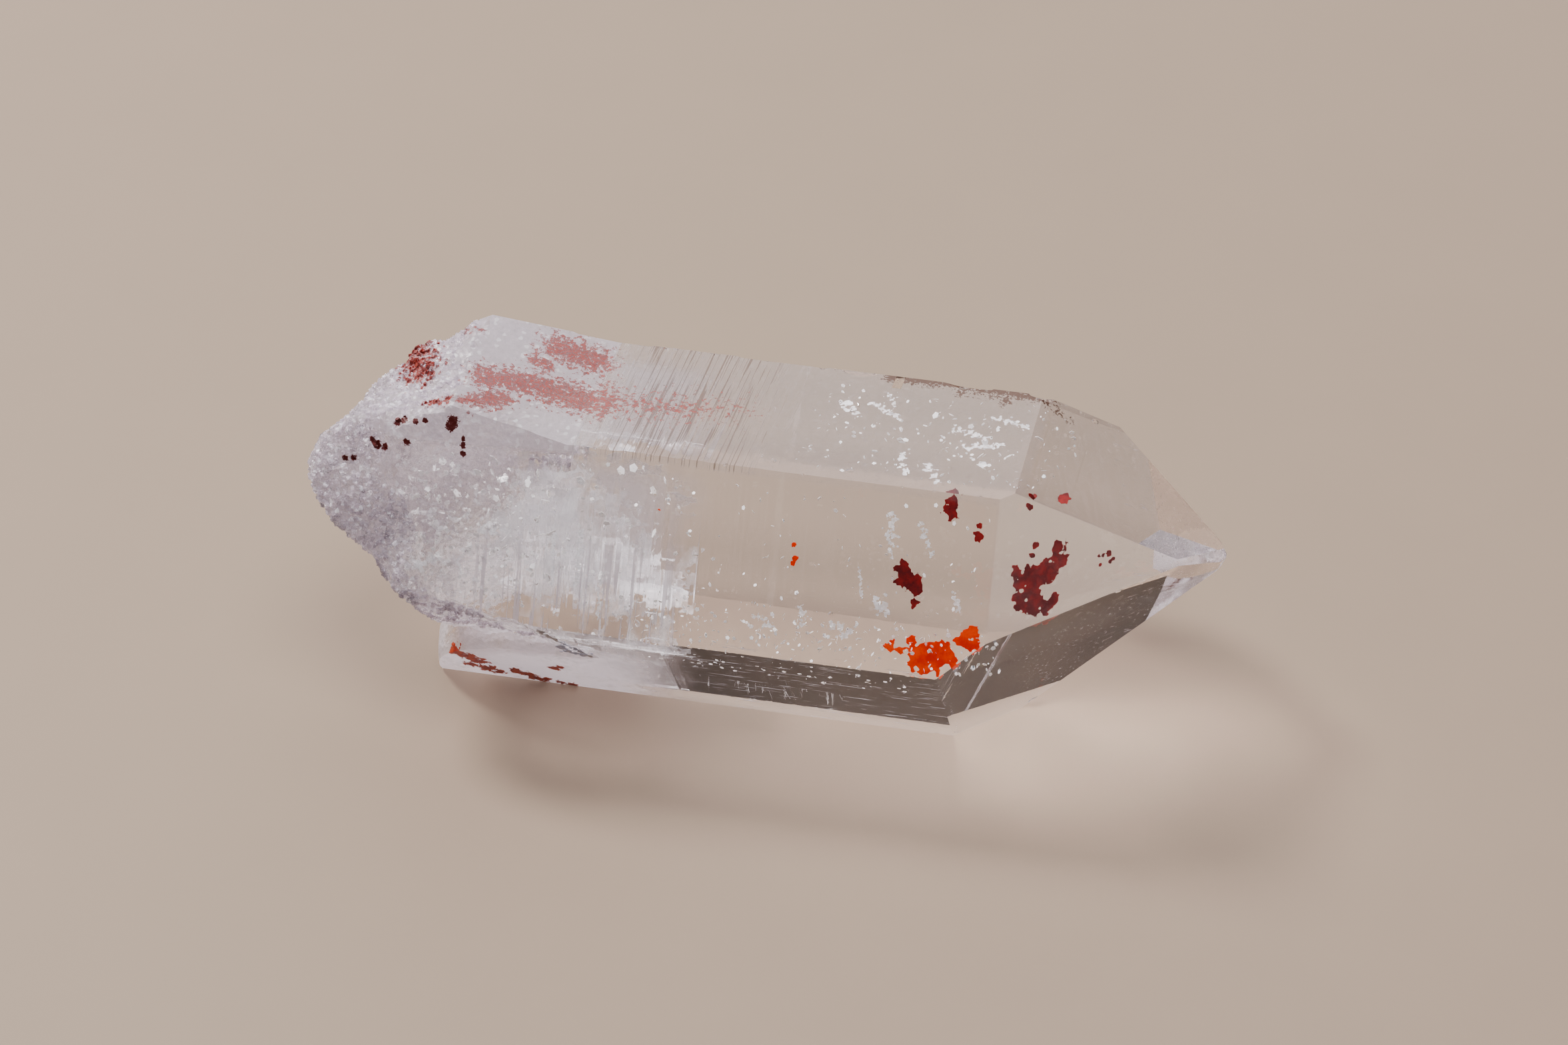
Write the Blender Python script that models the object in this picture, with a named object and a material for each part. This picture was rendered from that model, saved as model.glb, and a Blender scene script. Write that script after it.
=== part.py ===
# Himalayan quartz point: one clear crystal, a six-sided prism with a six-faced point at +X
# and a rough, healed end at -X. It lies on one prism face.
# The design is worked out in millimetres from the front upper corner of the point (the shoulder),
# with X along the crystal, Y away from the viewer and Z up, and is moved and scaled at the end so that
# the origin is the middle of the bounding box at the resting face.

import math

import bmesh
import bpy
from mathutils import Matrix, Vector, noise

MM = 0.001

# Prism: the widths of four faces. The angles between faces are 120 degrees, so they set the other two.
TOP_WIDTH = 8.8
FRONT_UPPER_WIDTH = 10.0
FRONT_LOWER_WIDTH = 9.6
REST_WIDTH = 10.4
FACES = ("top", "front_upper", "front_lower", "rest", "back_lower", "back_upper")
CORNER_TURN = math.radians(60)

# Point: quartz's rhombohedral faces stand 51.8 degrees off the crystal's axis direction.
# Each shoulder is the X at which a point face leaves the middle plane of its prism face.
POINT_NORMAL_ANGLE = math.radians(51.79)
SHOULDERS = {
    "top": 0.68,
    "front_upper": 0.0,
    "front_lower": -2.47,
    "rest": 0.73,
    "back_lower": 3.2,
    "back_upper": 4.54,
}

# The tip is blunted by four slanting flats and one square to the axis, this far below the sharp tip.
TIP_WEAR = 0.32
SQUARE_WEAR = 1.35 * TIP_WEAR
WORN_FLATS = 4
WORN_FIRST_TURN = math.radians(40)
WORN_LEAN = 0.62

# Lengths along X
PRISM_LEFT = -41.0
PRISM_RIGHT = 14.0
FLARE_START = -23.2
FLARE_END = -28.4
FLARE_RISE = 1.15
FRONT_FLARE_RISE = 0.3
FLARE_MOST = 1.6
GROWTH_LINE_SKEW = 0.7

# Growth ledges: low steps across a face, where one growth layer ends and the next begins.
# Each is the X it stands at and how much the face steps out to the left of it.
LEDGE_RUN = 0.16
LEDGES = {
    "top": ((-21.9, 0.07), (-20.4, -0.06), (-18.8, 0.08), (-17.1, -0.07), (-15.6, 0.07),
            (-14.2, -0.06), (-12.6, 0.06), (-9.4, 0.05)),
    "front_upper": ((-26.4, 0.10), (-24.9, -0.08), (-22.9, 0.08), (-20.2, 0.07), (-17.4, -0.05)),
    "front_lower": ((-16.0, 0.06), (-7.2, 0.05)),
    "rest": (),
    "back_lower": ((-24.6, 0.10), (-19.8, -0.07), (-14.1, 0.08), (-8.0, 0.06)),
    "back_upper": ((-25.3, 0.09), (-21.2, -0.08), (-16.4, 0.09), (-11.7, -0.06), (-5.1, 0.07)),
}

# Rough end: the lumpy form that the prism's left end is broken and healed to.
# Each flat is its outward direction and a point that it passes through.
ROUGH_CENTRE = Vector((-26.5, 3.4, -8.0))
ROUGH_FLATS = (
    (Vector((-0.58, 0.77, 0.22)), Vector((-31.6, 7.0, 0.9))),
    (Vector((-0.30, 0.02, 0.95)), Vector((-32.0, 3.0, 0.75))),
    (Vector((-0.74, 0.36, 0.57)), Vector((-36.0, 1.2, -1.2))),
    (Vector((-0.96, -0.20, -0.10)), Vector((-37.5, -0.8, -3.4))),
    (Vector((-0.20, -0.87, 0.42)), Vector((-33.0, -2.3, -3.9))),
    (Vector((-0.72, -0.42, -0.52)), Vector((-34.8, -3.1, -6.1))),
    (Vector((-0.10, -0.83, -0.55)), Vector((-24.2, -5.0, -8.66))),
    (Vector((-0.66, -0.30, -0.69)), Vector((-30.2, -4.6, -10.2))),
    (Vector((-0.70, 0.62, -0.35)), Vector((-31.8, 7.6, -7.0))),
    (Vector((-0.76, 0.20, -0.62)), Vector((-28.9, 4.5, -14.0))),
)
ROUGH_REACH = 60.0
ROUGH_SHARPNESS = 26.0
ROUGH_DETAIL = 5
ROUGH_LUMPS = ((3.4, 0.55), (1.3, 0.26))     # lump size and height, layer by layer
LUMPS_SHIFT = 7.0

# Lobe: the smooth milky lump at the foot of the rough end
LOBE_CENTRE = Vector((-23.2, 2.4, -15.6))
LOBE_HALF = Vector((8.2, 6.8, 4.5))
LOBE_SQUARENESS = 2.3
LOBE_DETAIL = 4
LOBE_LUMPS = ((2.6, 0.26),)

# Chips: small shell-shaped scars, each its middle on the surface, its half sizes and its lean about Y
CHIPS = (
    (Vector((1.9, 3.3, -16.9)), Vector((1.1, 0.8, 0.45)), 0.3),
    (Vector((-9.0, 5.9, 0.12)), Vector((0.35, 0.55, 0.22)), 0.0),
    (Vector((-3.4, 8.9, 0.2)), Vector((1.5, 0.5, 0.45)), 0.1),
    (Vector((0.9, 8.9, 0.0)), Vector((1.2, 0.45, 0.5)), -0.2),
    (Vector((-17.5, -5.05, -8.7)), Vector((0.9, 0.4, 0.35)), 0.1),
    (Vector((-10.6, 14.5, -9.6)), Vector((1.2, 0.5, 0.6)), 0.2),
    (Vector((-19.4, 10.3, -17.1)), Vector((1.4, 0.7, 0.5)), 0.0),
)
CHIP_DETAIL = 2

SHARP_EDGE_ANGLE = math.radians(24)

CRYSTAL_COLOUR = (0.93, 0.91, 0.92, 1.0)
CRYSTAL_ROUGHNESS = 0.04
CRYSTAL_IOR = 1.544


def face_direction(name):
    """The outward direction of a prism face, square to the crystal's axis."""
    turn = math.radians(90) + FACES.index(name) * CORNER_TURN
    return Vector((0.0, math.cos(turn), math.sin(turn)))


def prism_corners():
    """The section's corners, keyed by the face that each one starts, going round from the top face."""
    back_lower_width = TOP_WIDTH + FRONT_UPPER_WIDTH - REST_WIDTH
    back_upper_width = FRONT_UPPER_WIDTH + FRONT_LOWER_WIDTH - back_lower_width
    widths = (FRONT_UPPER_WIDTH, FRONT_LOWER_WIDTH, REST_WIDTH, back_lower_width, back_upper_width)
    corner = Vector((0.0, 0.0, 0.0))
    corners = {"front_upper": corner.copy()}
    for name, next_name, width in zip(FACES[1:], FACES[2:] + FACES[:1], widths):
        outward = face_direction(name)
        corner = corner + Vector((0.0, -outward.z, outward.y)) * width
        corners[next_name] = corner.copy()
    return corners


def flare(name, x):
    """How far a face has leaned out at x, where the end swells to the left of the crease."""
    rise = {"top": FLARE_RISE, "front_upper": FRONT_FLARE_RISE}.get(name, 0.0)
    run = min(max((FLARE_START - x) / (FLARE_START - FLARE_END), 0.0), FLARE_MOST)
    return rise * run


def face_offsets(corners):
    return {name: face_direction(name).dot(corners[name]) for name in FACES}


def ledge_offset(name, x):
    """The sum of the ledges to the right of x, each rising over a short run."""
    total = 0.0
    for place, step in LEDGES[name]:
        total += step * min(max((place - x) / LEDGE_RUN, 0.0), 1.0)
    return total


def stations():
    """The X of every section: both ends, the creases, and both edges of every ledge."""
    found = {PRISM_LEFT, PRISM_RIGHT, FLARE_START, FLARE_END}
    for ledges in LEDGES.values():
        for place, _ in ledges:
            found.update((place, place - LEDGE_RUN))
    return sorted(found)


def section_at(x, offsets):
    """The six corners at x, each where two neighbouring faces meet. Growth lines slant over the top face."""
    distances = [offsets[name] + flare(name, x) + ledge_offset(name, x) for name in FACES]
    points = []
    for index, name in enumerate(FACES):
        here = face_direction(name)
        along = Vector((0.0, -here.z, here.y))
        own, following = distances[index], distances[(index + 1) % len(FACES)]
        reach = (following - own * math.cos(CORNER_TURN)) / math.sin(CORNER_TURN)
        corner = here * own + along * reach
        slant = GROWTH_LINE_SKEW * min(max(corner.y / TOP_WIDTH, 0.0), 1.0)
        points.append(corner + Vector((x + slant, 0.0, 0.0)))
    return points


def make_prism(offsets):
    """The prism as a stack of sections, closed at both ends."""
    prism = bmesh.new()
    rings = [[prism.verts.new(point) for point in section_at(x, offsets)] for x in stations()]
    for left, right in zip(rings, rings[1:]):
        for index in range(len(FACES)):
            after = (index + 1) % len(FACES)
            prism.faces.new((left[index], left[after], right[after], right[index]))
    prism.faces.new(rings[0])
    prism.faces.new(rings[-1])
    bmesh.ops.recalc_face_normals(prism, faces=prism.faces)
    return prism


def slice_off(solid, point, outward):
    """Cut away what lies beyond a plane, and close the cut with a flat face."""
    geometry = solid.verts[:] + solid.edges[:] + solid.faces[:]
    cut = bmesh.ops.bisect_plane(solid, geom=geometry, plane_co=point, plane_no=outward,
                                 dist=1e-5, clear_outer=True)
    rim = [item for item in cut["geom_cut"] if isinstance(item, bmesh.types.BMEdge)]
    if rim:
        bmesh.ops.contextual_create(solid, geom=rim)


def point_direction(name):
    return (Vector((1.0, 0.0, 0.0)) * math.cos(POINT_NORMAL_ANGLE)
            + face_direction(name) * math.sin(POINT_NORMAL_ANGLE))


def cut_point(solid, offsets):
    """The six faces of the point, then the small worn flats that blunt its tip."""
    for name in FACES:
        foot = face_direction(name) * offsets[name] + Vector((SHOULDERS[name], 0.0, 0.0))
        slice_off(solid, foot, point_direction(name))
    tip = max((vert.co.copy() for vert in solid.verts), key=lambda place: place.x)
    for flat in range(WORN_FLATS):
        angle = WORN_FIRST_TURN + math.tau * flat / WORN_FLATS
        worn = Vector((1.0, WORN_LEAN * math.cos(angle), WORN_LEAN * math.sin(angle))).normalized()
        slice_off(solid, tip - worn * TIP_WEAR, worn)
    slice_off(solid, tip - Vector((SQUARE_WEAR, 0.0, 0.0)), Vector((1.0, 0.0, 0.0)))


def lumps(place, layers):
    """Layers of smooth noise, each with its own lump size and height."""
    return sum(height * noise.noise(place / size + Vector((size, 0.0, LUMPS_SHIFT))) for size, height in layers)


def make_rough_end():
    """A round blend of the flats, with lumps, that reaches far past the prism everywhere but on the left."""
    rough = bmesh.new()
    bmesh.ops.create_icosphere(rough, subdivisions=ROUGH_DETAIL, radius=1.0)
    flats = [(outward.normalized(), outward.normalized().dot(place - ROUGH_CENTRE))
             for outward, place in ROUGH_FLATS]
    for vert in rough.verts:
        direction = vert.co.normalized()
        near = (1.0 / ROUGH_REACH) ** ROUGH_SHARPNESS
        for outward, distance in flats:
            facing = max(direction.dot(outward), 0.0) / distance
            near += facing ** ROUGH_SHARPNESS
        reach = near ** (-1.0 / ROUGH_SHARPNESS)
        place = ROUGH_CENTRE + direction * reach
        vert.co = place + direction * lumps(place, ROUGH_LUMPS)
    return rough


def make_lobe():
    """A lumpy egg with slightly squared sides."""
    lobe = bmesh.new()
    bmesh.ops.create_icosphere(lobe, subdivisions=LOBE_DETAIL, radius=1.0)
    for vert in lobe.verts:
        direction = vert.co.normalized()
        fullness = sum(abs(part) ** LOBE_SQUARENESS for part in direction) ** (-1.0 / LOBE_SQUARENESS)
        place = LOBE_CENTRE + direction * fullness * LOBE_HALF
        vert.co = place + direction * lumps(place, LOBE_LUMPS)
    return lobe


def make_chip(half_sizes, lean):
    chip = bmesh.new()
    bmesh.ops.create_icosphere(chip, subdivisions=CHIP_DETAIL, radius=1.0)
    bmesh.ops.transform(chip, matrix=Matrix.Rotation(lean, 4, "Y") @ Matrix.Diagonal(half_sizes).to_4x4(),
                        verts=chip.verts)
    return chip


def as_object(name, solid):
    mesh = bpy.data.meshes.new(name)
    solid.to_mesh(mesh)
    solid.free()
    made = bpy.data.objects.new(name, mesh)
    bpy.context.scene.collection.objects.link(made)
    return made


def combine(target, operation, cutter):
    """Apply one exact Boolean and remove the cutter."""
    change = target.modifiers.new(operation.lower(), "BOOLEAN")
    change.operation = operation
    change.solver = "EXACT"
    change.object = cutter
    view = bpy.context.evaluated_depsgraph_get()
    result = bpy.data.meshes.new_from_object(target.evaluated_get(view))
    target.modifiers.clear()
    target.data = result
    bpy.data.objects.remove(cutter)


def settle(crystal):
    """Put the origin under the middle of the bounding box, at the resting face, and go to metres."""
    mesh = crystal.data
    low = Vector(min(vert.co[axis] for vert in mesh.vertices) for axis in range(3))
    high = Vector(max(vert.co[axis] for vert in mesh.vertices) for axis in range(3))
    origin = Vector(((low.x + high.x) / 2, (low.y + high.y) / 2, low.z))
    for vert in mesh.vertices:
        vert.co = (vert.co - origin) * MM


def crystal_material():
    material = bpy.data.materials.new("crystal")
    material.use_nodes = True
    shader = material.node_tree.nodes["Principled BSDF"]
    shader.inputs["Base Color"].default_value = CRYSTAL_COLOUR
    shader.inputs["Roughness"].default_value = CRYSTAL_ROUGHNESS
    shader.inputs["Metallic"].default_value = 0.0
    shader.inputs["IOR"].default_value = CRYSTAL_IOR
    shader.inputs["Transmission Weight"].default_value = 1.0
    return material


def main():
    for old in list(bpy.data.objects):
        bpy.data.objects.remove(old)
    offsets = face_offsets(prism_corners())
    prism = make_prism(offsets)
    cut_point(prism, offsets)
    crystal = as_object("crystal", prism)
    envelope = as_object("rough_end", make_rough_end())
    combine(envelope, "UNION", as_object("lobe", make_lobe()))
    combine(crystal, "INTERSECT", envelope)
    for place, half_sizes, lean in CHIPS:
        chip = as_object("chip", make_chip(half_sizes, lean))
        chip.location = place
        combine(crystal, "DIFFERENCE", chip)
    settle(crystal)
    crystal.data.shade_smooth()
    crystal.data.set_sharp_from_angle(angle=SHARP_EDGE_ANGLE)
    crystal.data.materials.clear()
    crystal.data.materials.append(crystal_material())


main()
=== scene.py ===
import math
import random

import bmesh
import bpy
import numpy as np
from mathutils import Matrix, Vector, noise


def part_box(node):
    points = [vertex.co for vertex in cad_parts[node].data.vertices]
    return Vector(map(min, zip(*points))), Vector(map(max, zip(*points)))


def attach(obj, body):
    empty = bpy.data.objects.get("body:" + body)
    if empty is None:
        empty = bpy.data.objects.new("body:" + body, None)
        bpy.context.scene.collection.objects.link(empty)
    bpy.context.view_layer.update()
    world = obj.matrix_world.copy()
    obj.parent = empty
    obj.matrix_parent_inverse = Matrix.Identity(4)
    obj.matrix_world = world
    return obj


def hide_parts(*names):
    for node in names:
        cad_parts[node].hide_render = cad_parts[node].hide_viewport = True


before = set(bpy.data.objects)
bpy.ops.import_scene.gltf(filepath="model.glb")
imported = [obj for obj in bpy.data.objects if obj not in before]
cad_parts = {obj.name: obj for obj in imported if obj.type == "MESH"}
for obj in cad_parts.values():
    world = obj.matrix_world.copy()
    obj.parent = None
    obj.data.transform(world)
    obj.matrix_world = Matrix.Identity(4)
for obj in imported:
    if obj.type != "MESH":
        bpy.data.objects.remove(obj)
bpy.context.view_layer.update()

# The looks of a clear quartz point. Places are in millimetres from the shoulder, the front upper corner
# where the prism meets the point: X runs along the crystal to its tip, Y away from the viewer, Z up.
mm = 0.001
lowCorner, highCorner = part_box("crystal")
shoulderReach = {"toTip": 10.947, "fromFront": 5.102, "fromRest": 16.974}
shoulder = np.array((highCorner.x / mm - shoulderReach["toTip"],
                     lowCorner.y / mm + shoulderReach["fromFront"],
                     shoulderReach["fromRest"]))

faceNames = ("top", "frontUpper", "frontLower", "rest", "backLower", "backUpper")
cornerTurn = math.radians(60)
pointAngle = math.radians(51.79)     # quartz's point faces lean this far off the long axis


def report(stage, detail=""):
    print("stage:", stage, detail)


def prismDirection(name):
    turn = math.radians(90) + cornerTurn * faceNames.index(name)
    return Vector((0.0, math.cos(turn), math.sin(turn)))


def pointDirection(name):
    return Vector((math.cos(pointAngle), 0, 0)) + prismDirection(name) * math.sin(pointAngle)


def alongFace(name):
    outward = prismDirection(name)
    return Vector((0.0, -outward.z, outward.y))


# Mesh helpers


def asPiece(name, solid, material=None):
    # a bmesh in millimetres becomes a piece in place, in metres
    mesh = bpy.data.meshes.new(name)
    solid.to_mesh(mesh)
    solid.free()
    return placed(name, mesh, material)


def placed(name, mesh, material=None):
    count = len(mesh.vertices)
    points = np.empty(count * 3)
    mesh.vertices.foreach_get("co", points)
    points = (points.reshape(-1, 3) + shoulder) * mm
    mesh.vertices.foreach_set("co", points.ravel())
    mesh.update()
    piece = bpy.data.objects.new(name, mesh)
    bpy.context.scene.collection.objects.link(piece)
    if material:
        mesh.materials.clear()
        mesh.materials.append(material)
    return piece


def meshPoints(mesh):
    points = np.empty(len(mesh.vertices) * 3)
    mesh.vertices.foreach_get("co", points)
    return points.reshape(-1, 3)


def looseObject(name, solid):
    mesh = bpy.data.meshes.new(name)
    solid.to_mesh(mesh)
    solid.free()
    made = bpy.data.objects.new(name, mesh)
    bpy.context.scene.collection.objects.link(made)
    return made


def combine(target, operation, cutter, solver="EXACT"):
    change = target.modifiers.new("combine", "BOOLEAN")
    change.operation = operation
    change.solver = solver
    change.object = cutter
    view = bpy.context.evaluated_depsgraph_get()
    result = bpy.data.meshes.new_from_object(target.evaluated_get(view))
    target.modifiers.clear()
    target.data = result
    bpy.data.objects.remove(cutter)


# Shader maths


class Wire:
    # a shader socket that takes part in Python expressions
    def __init__(self, shader, node, output=0):
        self.shader, self.node, self.socket = shader, node, node.outputs[output]

    def out(self, name):
        return Wire(self.shader, self.node, name)

    def __add__(self, other):
        return self.shader.maths("ADD", self, other)

    def __sub__(self, other):
        return self.shader.maths("SUBTRACT", self, other)

    def __rsub__(self, other):
        return self.shader.maths("SUBTRACT", other, self)

    def __mul__(self, other):
        return self.shader.maths("MULTIPLY", self, other)

    def __truediv__(self, other):
        return self.shader.maths("DIVIDE", self, other)

    def __pow__(self, other):
        return self.shader.maths("POWER", self, other)

    __radd__ = __add__
    __rmul__ = __mul__


class Shader:
    def __init__(self, name):
        self.material = bpy.data.materials.new(name)
        self.material.use_nodes = True
        self.tree = self.material.node_tree
        self.tree.nodes.clear()

    def add(self, kind, settings=None, values=None, output=0):
        # one node of any kind: its settings first, then the values or links of its sockets
        node = self.tree.nodes.new("ShaderNode" + kind)
        for key, value in (settings or {}).items():
            if key == "stops":
                ramp = node.color_ramp.elements
                while len(ramp) < len(value):
                    ramp.new(0.5)
                for element, (position, colour) in zip(ramp, value):
                    element.position, element.color = position, (*colour, 1.0)
            else:
                setattr(node, key, value)
        for key, value in (values or {}).items():
            if isinstance(value, Wire):
                self.tree.links.new(value.socket, node.inputs[key])
            else:
                node.inputs[key].default_value = value
        return Wire(self, node, output)

    def maths(self, operation, first, second=0.0, clamp=False):
        return self.add("Math", {"operation": operation, "use_clamp": clamp}, {0: first, 1: second})

    def most(self, first, *others):
        for other in others:
            first = self.maths("MAXIMUM", first, other)
        return first

    def least(self, first, second):
        return self.maths("MINIMUM", first, second)

    def clipped(self, value):
        return self.maths("ADD", value, 0.0, clamp=True)

    def rise(self, value, low, high):
        # 0 at low and 1 at high, smooth between; low may be the larger
        return self.add("MapRange", {"interpolation_type": "SMOOTHSTEP"},
                        {"Value": value, "From Min": low, "From Max": high})

    def grain(self, vector, scale, detail=4.0, rough=0.55, stretch=None):
        # fractal noise from 0 to 1, with scale in repeats per millimetre
        if stretch:
            vector = self.add("Mapping", None, {"Vector": vector, "Scale": stretch})
        return self.add("TexNoise", None, {"Vector": vector, "Scale": scale, "Detail": detail, "Roughness": rough})

    def cells(self, vector, scale, feature="F1", output="Distance", stretch=None):
        if stretch:
            vector = self.add("Mapping", None, {"Vector": vector, "Scale": stretch})
        return self.add("TexVoronoi", {"feature": feature}, {"Vector": vector, "Scale": scale}, output)

    def millimetres(self):
        # the object's own coordinates, in millimetres from the shoulder
        coordinates = self.add("TexCoord", None, None, "Object")
        return self.add("VectorMath", {"operation": "MULTIPLY_ADD"},
                        {0: coordinates, 1: (1 / mm,) * 3, 2: tuple(-shoulder)})

    def split(self, vector):
        parts = self.add("SeparateXYZ", None, {"Vector": vector}, "X")
        return parts, parts.out("Y"), parts.out("Z")

    def mixColour(self, factor, first, second):
        mixed = self.add("Mix", {"data_type": "RGBA"}, {"Factor": factor}, "Result")
        node = mixed.node
        colours = [socket for socket in node.inputs if socket.type == "RGBA"]
        for socket, value in zip(colours, (first, second)):
            if isinstance(value, Wire):
                self.tree.links.new(value.socket, socket)
            else:
                socket.default_value = (*value, 1.0)
        result = next(socket for socket in node.outputs if socket.type == "RGBA")
        wire = Wire(self, node)
        wire.socket = result
        return wire

    def band(self, point, start, end, halfWidth):
        # 1 on the line from start to end, falling to 0 at halfWidth from it
        run = Vector(end) - Vector(start)
        shifted = self.add("VectorMath", {"operation": "SUBTRACT"}, {0: point, 1: tuple(start)})
        along = self.add("VectorMath", {"operation": "DOT_PRODUCT"},
                         {0: shifted, 1: tuple(run / run.length_squared)}, "Value")
        foot = self.add("VectorMath", {"operation": "SCALE"},
                        {0: tuple(run), "Scale": self.clipped(along)})
        gap = self.add("VectorMath", {"operation": "DISTANCE"}, {0: shifted, 1: foot}, "Value")
        return 1 - gap / halfWidth

    def blob(self, point, centre, radius):
        gap = self.add("VectorMath", {"operation": "DISTANCE"}, {0: point, 1: tuple(centre)}, "Value")
        return 1 - gap / radius

    def planeDepth(self, point, outward, distance):
        # how far below a plane the point lies
        reach = self.add("VectorMath", {"operation": "DOT_PRODUCT"}, {0: point, 1: tuple(outward)}, "Value")
        return distance - reach

    def finish(self, surface, volume=None):
        output = self.tree.nodes.new("ShaderNodeOutputMaterial")
        self.tree.links.new(surface.socket, output.inputs["Surface"])
        if volume:
            self.tree.links.new(volume.socket, output.inputs["Volume"])
        return self.material


# The crystal itself: a prism of stacked sections, six point faces and a rough, healed end

crystalPoint = {
    "widths": {"frontUpper": 10.0, "frontLower": 9.6, "rest": 10.4, "top": 8.8},
    "shoulders": {"top": 0.68, "frontUpper": 0.0, "frontLower": -2.47,
                  "rest": 0.73, "backLower": 3.2, "backUpper": 4.54},
    "tipWear": 0.32,
    "flareStart": -23.2, "flareEnd": -28.4, "flareMost": 1.6,
    "flareRise": {"top": 1.15, "frontUpper": 0.3},
    "lineSkew": 0.7, "ledgeRun": 0.34,
    "ledges": {
        "top": ((-21.9, 0.03), (-20.4, -0.02), (-18.8, 0.03), (-17.1, -0.03), (-15.6, 0.03),
                (-14.2, -0.02), (-12.6, 0.02)),
        "frontUpper": ((-26.4, 0.06), (-24.9, -0.05), (-22.9, 0.05), (-20.2, 0.05), (-17.4, -0.03)),
        "frontLower": (),
        "rest": (),
        "backLower": ((-24.6, 0.10), (-19.8, -0.07), (-14.1, 0.08), (-8.0, 0.06)),
        "backUpper": ((-25.3, 0.09), (-21.2, -0.08), (-16.4, 0.09), (-11.7, -0.06), (-5.1, 0.07)),
    },
    # fine growth lines on each face: from X, to X, how many, how deep, and where across the face (0 to 1)
    "striae": {
        "top": ((-22.0, -12.4, 90, 0.026, 0.55, 0.60), (-12.4, -8.0, 10, 0.012, 0.6, 0.4)),
        "frontUpper": ((-26.0, -20.6, 46, 0.040, 0.68, 0.40), (-20.6, -15.2, 30, 0.030, 0.80, 0.35),
                       (-15.2, -8.0, 9, 0.012, 0.6, 0.4)),
        "frontLower": ((-24.0, -8.0, 22, 0.014, 0.5, 0.5),),
        "rest": (),
        "backLower": ((-26.0, -8.0, 60, 0.030, 0.5, 0.6),),
        "backUpper": ((-26.0, -8.0, 80, 0.036, 0.5, 0.6),),
    },
    "rough": {"from": -41.0, "to": -26.0, "step": 0.26, "across": 36},
    "lined": {"to": -8.0, "step": 0.05, "across": 9},
    "clear": {"to": 14.0, "step": 0.5},
    "roughCentre": (-26.5, 3.4, -8.0), "roughReach": 60.0, "roughSharpness": 26.0,
    "roughLumps": ((3.4, 0.55), (1.3, 0.26)),
    "roughFlats": (
        ((-0.58, 0.77, 0.22), (-31.6, 7.0, 0.9)),
        ((-0.30, 0.02, 0.95), (-32.0, 3.0, 0.75)),
        ((-0.74, 0.36, 0.57), (-36.0, 1.2, -1.2)),
        ((-0.96, -0.20, -0.10), (-37.5, -0.8, -3.4)),
        ((-0.20, -0.87, 0.42), (-33.0, -2.3, -3.9)),
        ((-0.72, -0.42, -0.52), (-34.8, -3.1, -6.1)),
        ((-0.10, -0.83, -0.55), (-24.2, -5.0, -8.66)),
        ((-0.66, -0.30, -0.69), (-30.2, -4.6, -10.2)),
        ((-0.70, 0.62, -0.35), (-31.8, 7.6, -7.0)),
        ((-0.76, 0.20, -0.62), (-28.9, 4.5, -14.0)),
    ),
    "lobeCentre": (-23.2, 2.4, -15.6), "lobeHalf": (8.2, 6.8, 4.5), "lobeSquareness": 2.3,
    "lobeLumps": ((2.6, 0.26), (0.7, 0.03)),
    "sugar": ((1.1, 0.30), (0.42, 0.34)),      # facet size and tilt of the sugary grains
    "chips": (                                  # middle, half sizes, lean
        ((1.9, 3.3, -16.9), (1.1, 0.8, 0.45), 0.3),
        ((-9.0, 5.9, 0.12), (0.35, 0.55, 0.22), 0.0),
        ((-3.4, 8.9, 0.2), (1.5, 0.5, 0.45), 0.1),
        ((0.9, 8.9, 0.0), (1.2, 0.45, 0.5), -0.2),
        ((-17.5, -5.05, -8.7), (0.9, 0.4, 0.35), 0.1),
        ((-10.6, 14.5, -9.6), (1.2, 0.5, 0.6), 0.2),
        ((-19.4, 10.3, -17.1), (1.4, 0.7, 0.5), 0.0),
    ),
    "nicks": 90, "nickSizes": (0.05, 0.17),
    "sharpEdge": math.radians(26),
    "seed": 41,
}


def prismCorners(widths):
    wide = dict(widths)
    wide["backLower"] = widths["top"] + widths["frontUpper"] - widths["rest"]
    wide["backUpper"] = widths["frontUpper"] + widths["frontLower"] - wide["backLower"]
    corner = Vector((0.0, 0.0, 0.0))
    corners = {"frontUpper": corner.copy()}
    for name, following in zip(faceNames[1:], faceNames[2:] + faceNames[:1]):
        corner = corner + alongFace(name) * wide[name]
        corners[following] = corner.copy()
    return corners


corners = prismCorners(crystalPoint["widths"])
faceDistance = {name: prismDirection(name).dot(corners[name]) for name in faceNames}


def faceReach(name, x):
    # how far a face stands off the axis at x, with its flare and its growth ledges
    rise = crystalPoint["flareRise"].get(name, 0.0)
    run = (crystalPoint["flareStart"] - x) / (crystalPoint["flareStart"] - crystalPoint["flareEnd"])
    reach = faceDistance[name] + rise * min(max(run, 0.0), crystalPoint["flareMost"])
    for ledge, step in crystalPoint["ledges"][name]:
        reach += step * min(max((ledge - x) / crystalPoint["ledgeRun"], 0.0), 1.0)
    return reach


def sectionAt(x):
    reaches = [faceReach(name, x) for name in faceNames]
    found = []
    for index, name in enumerate(faceNames):
        own, following = reaches[index], reaches[(index + 1) % 6]
        along = (following - own * math.cos(cornerTurn)) / math.sin(cornerTurn)
        corner = prismDirection(name) * own + alongFace(name) * along
        slant = crystalPoint["lineSkew"] * min(max(corner.y / crystalPoint["widths"]["top"], 0.0), 1.0)
        found.append(corner + Vector((x + slant, 0.0, 0.0)))
    return found       # corner index is the end of face index


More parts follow.
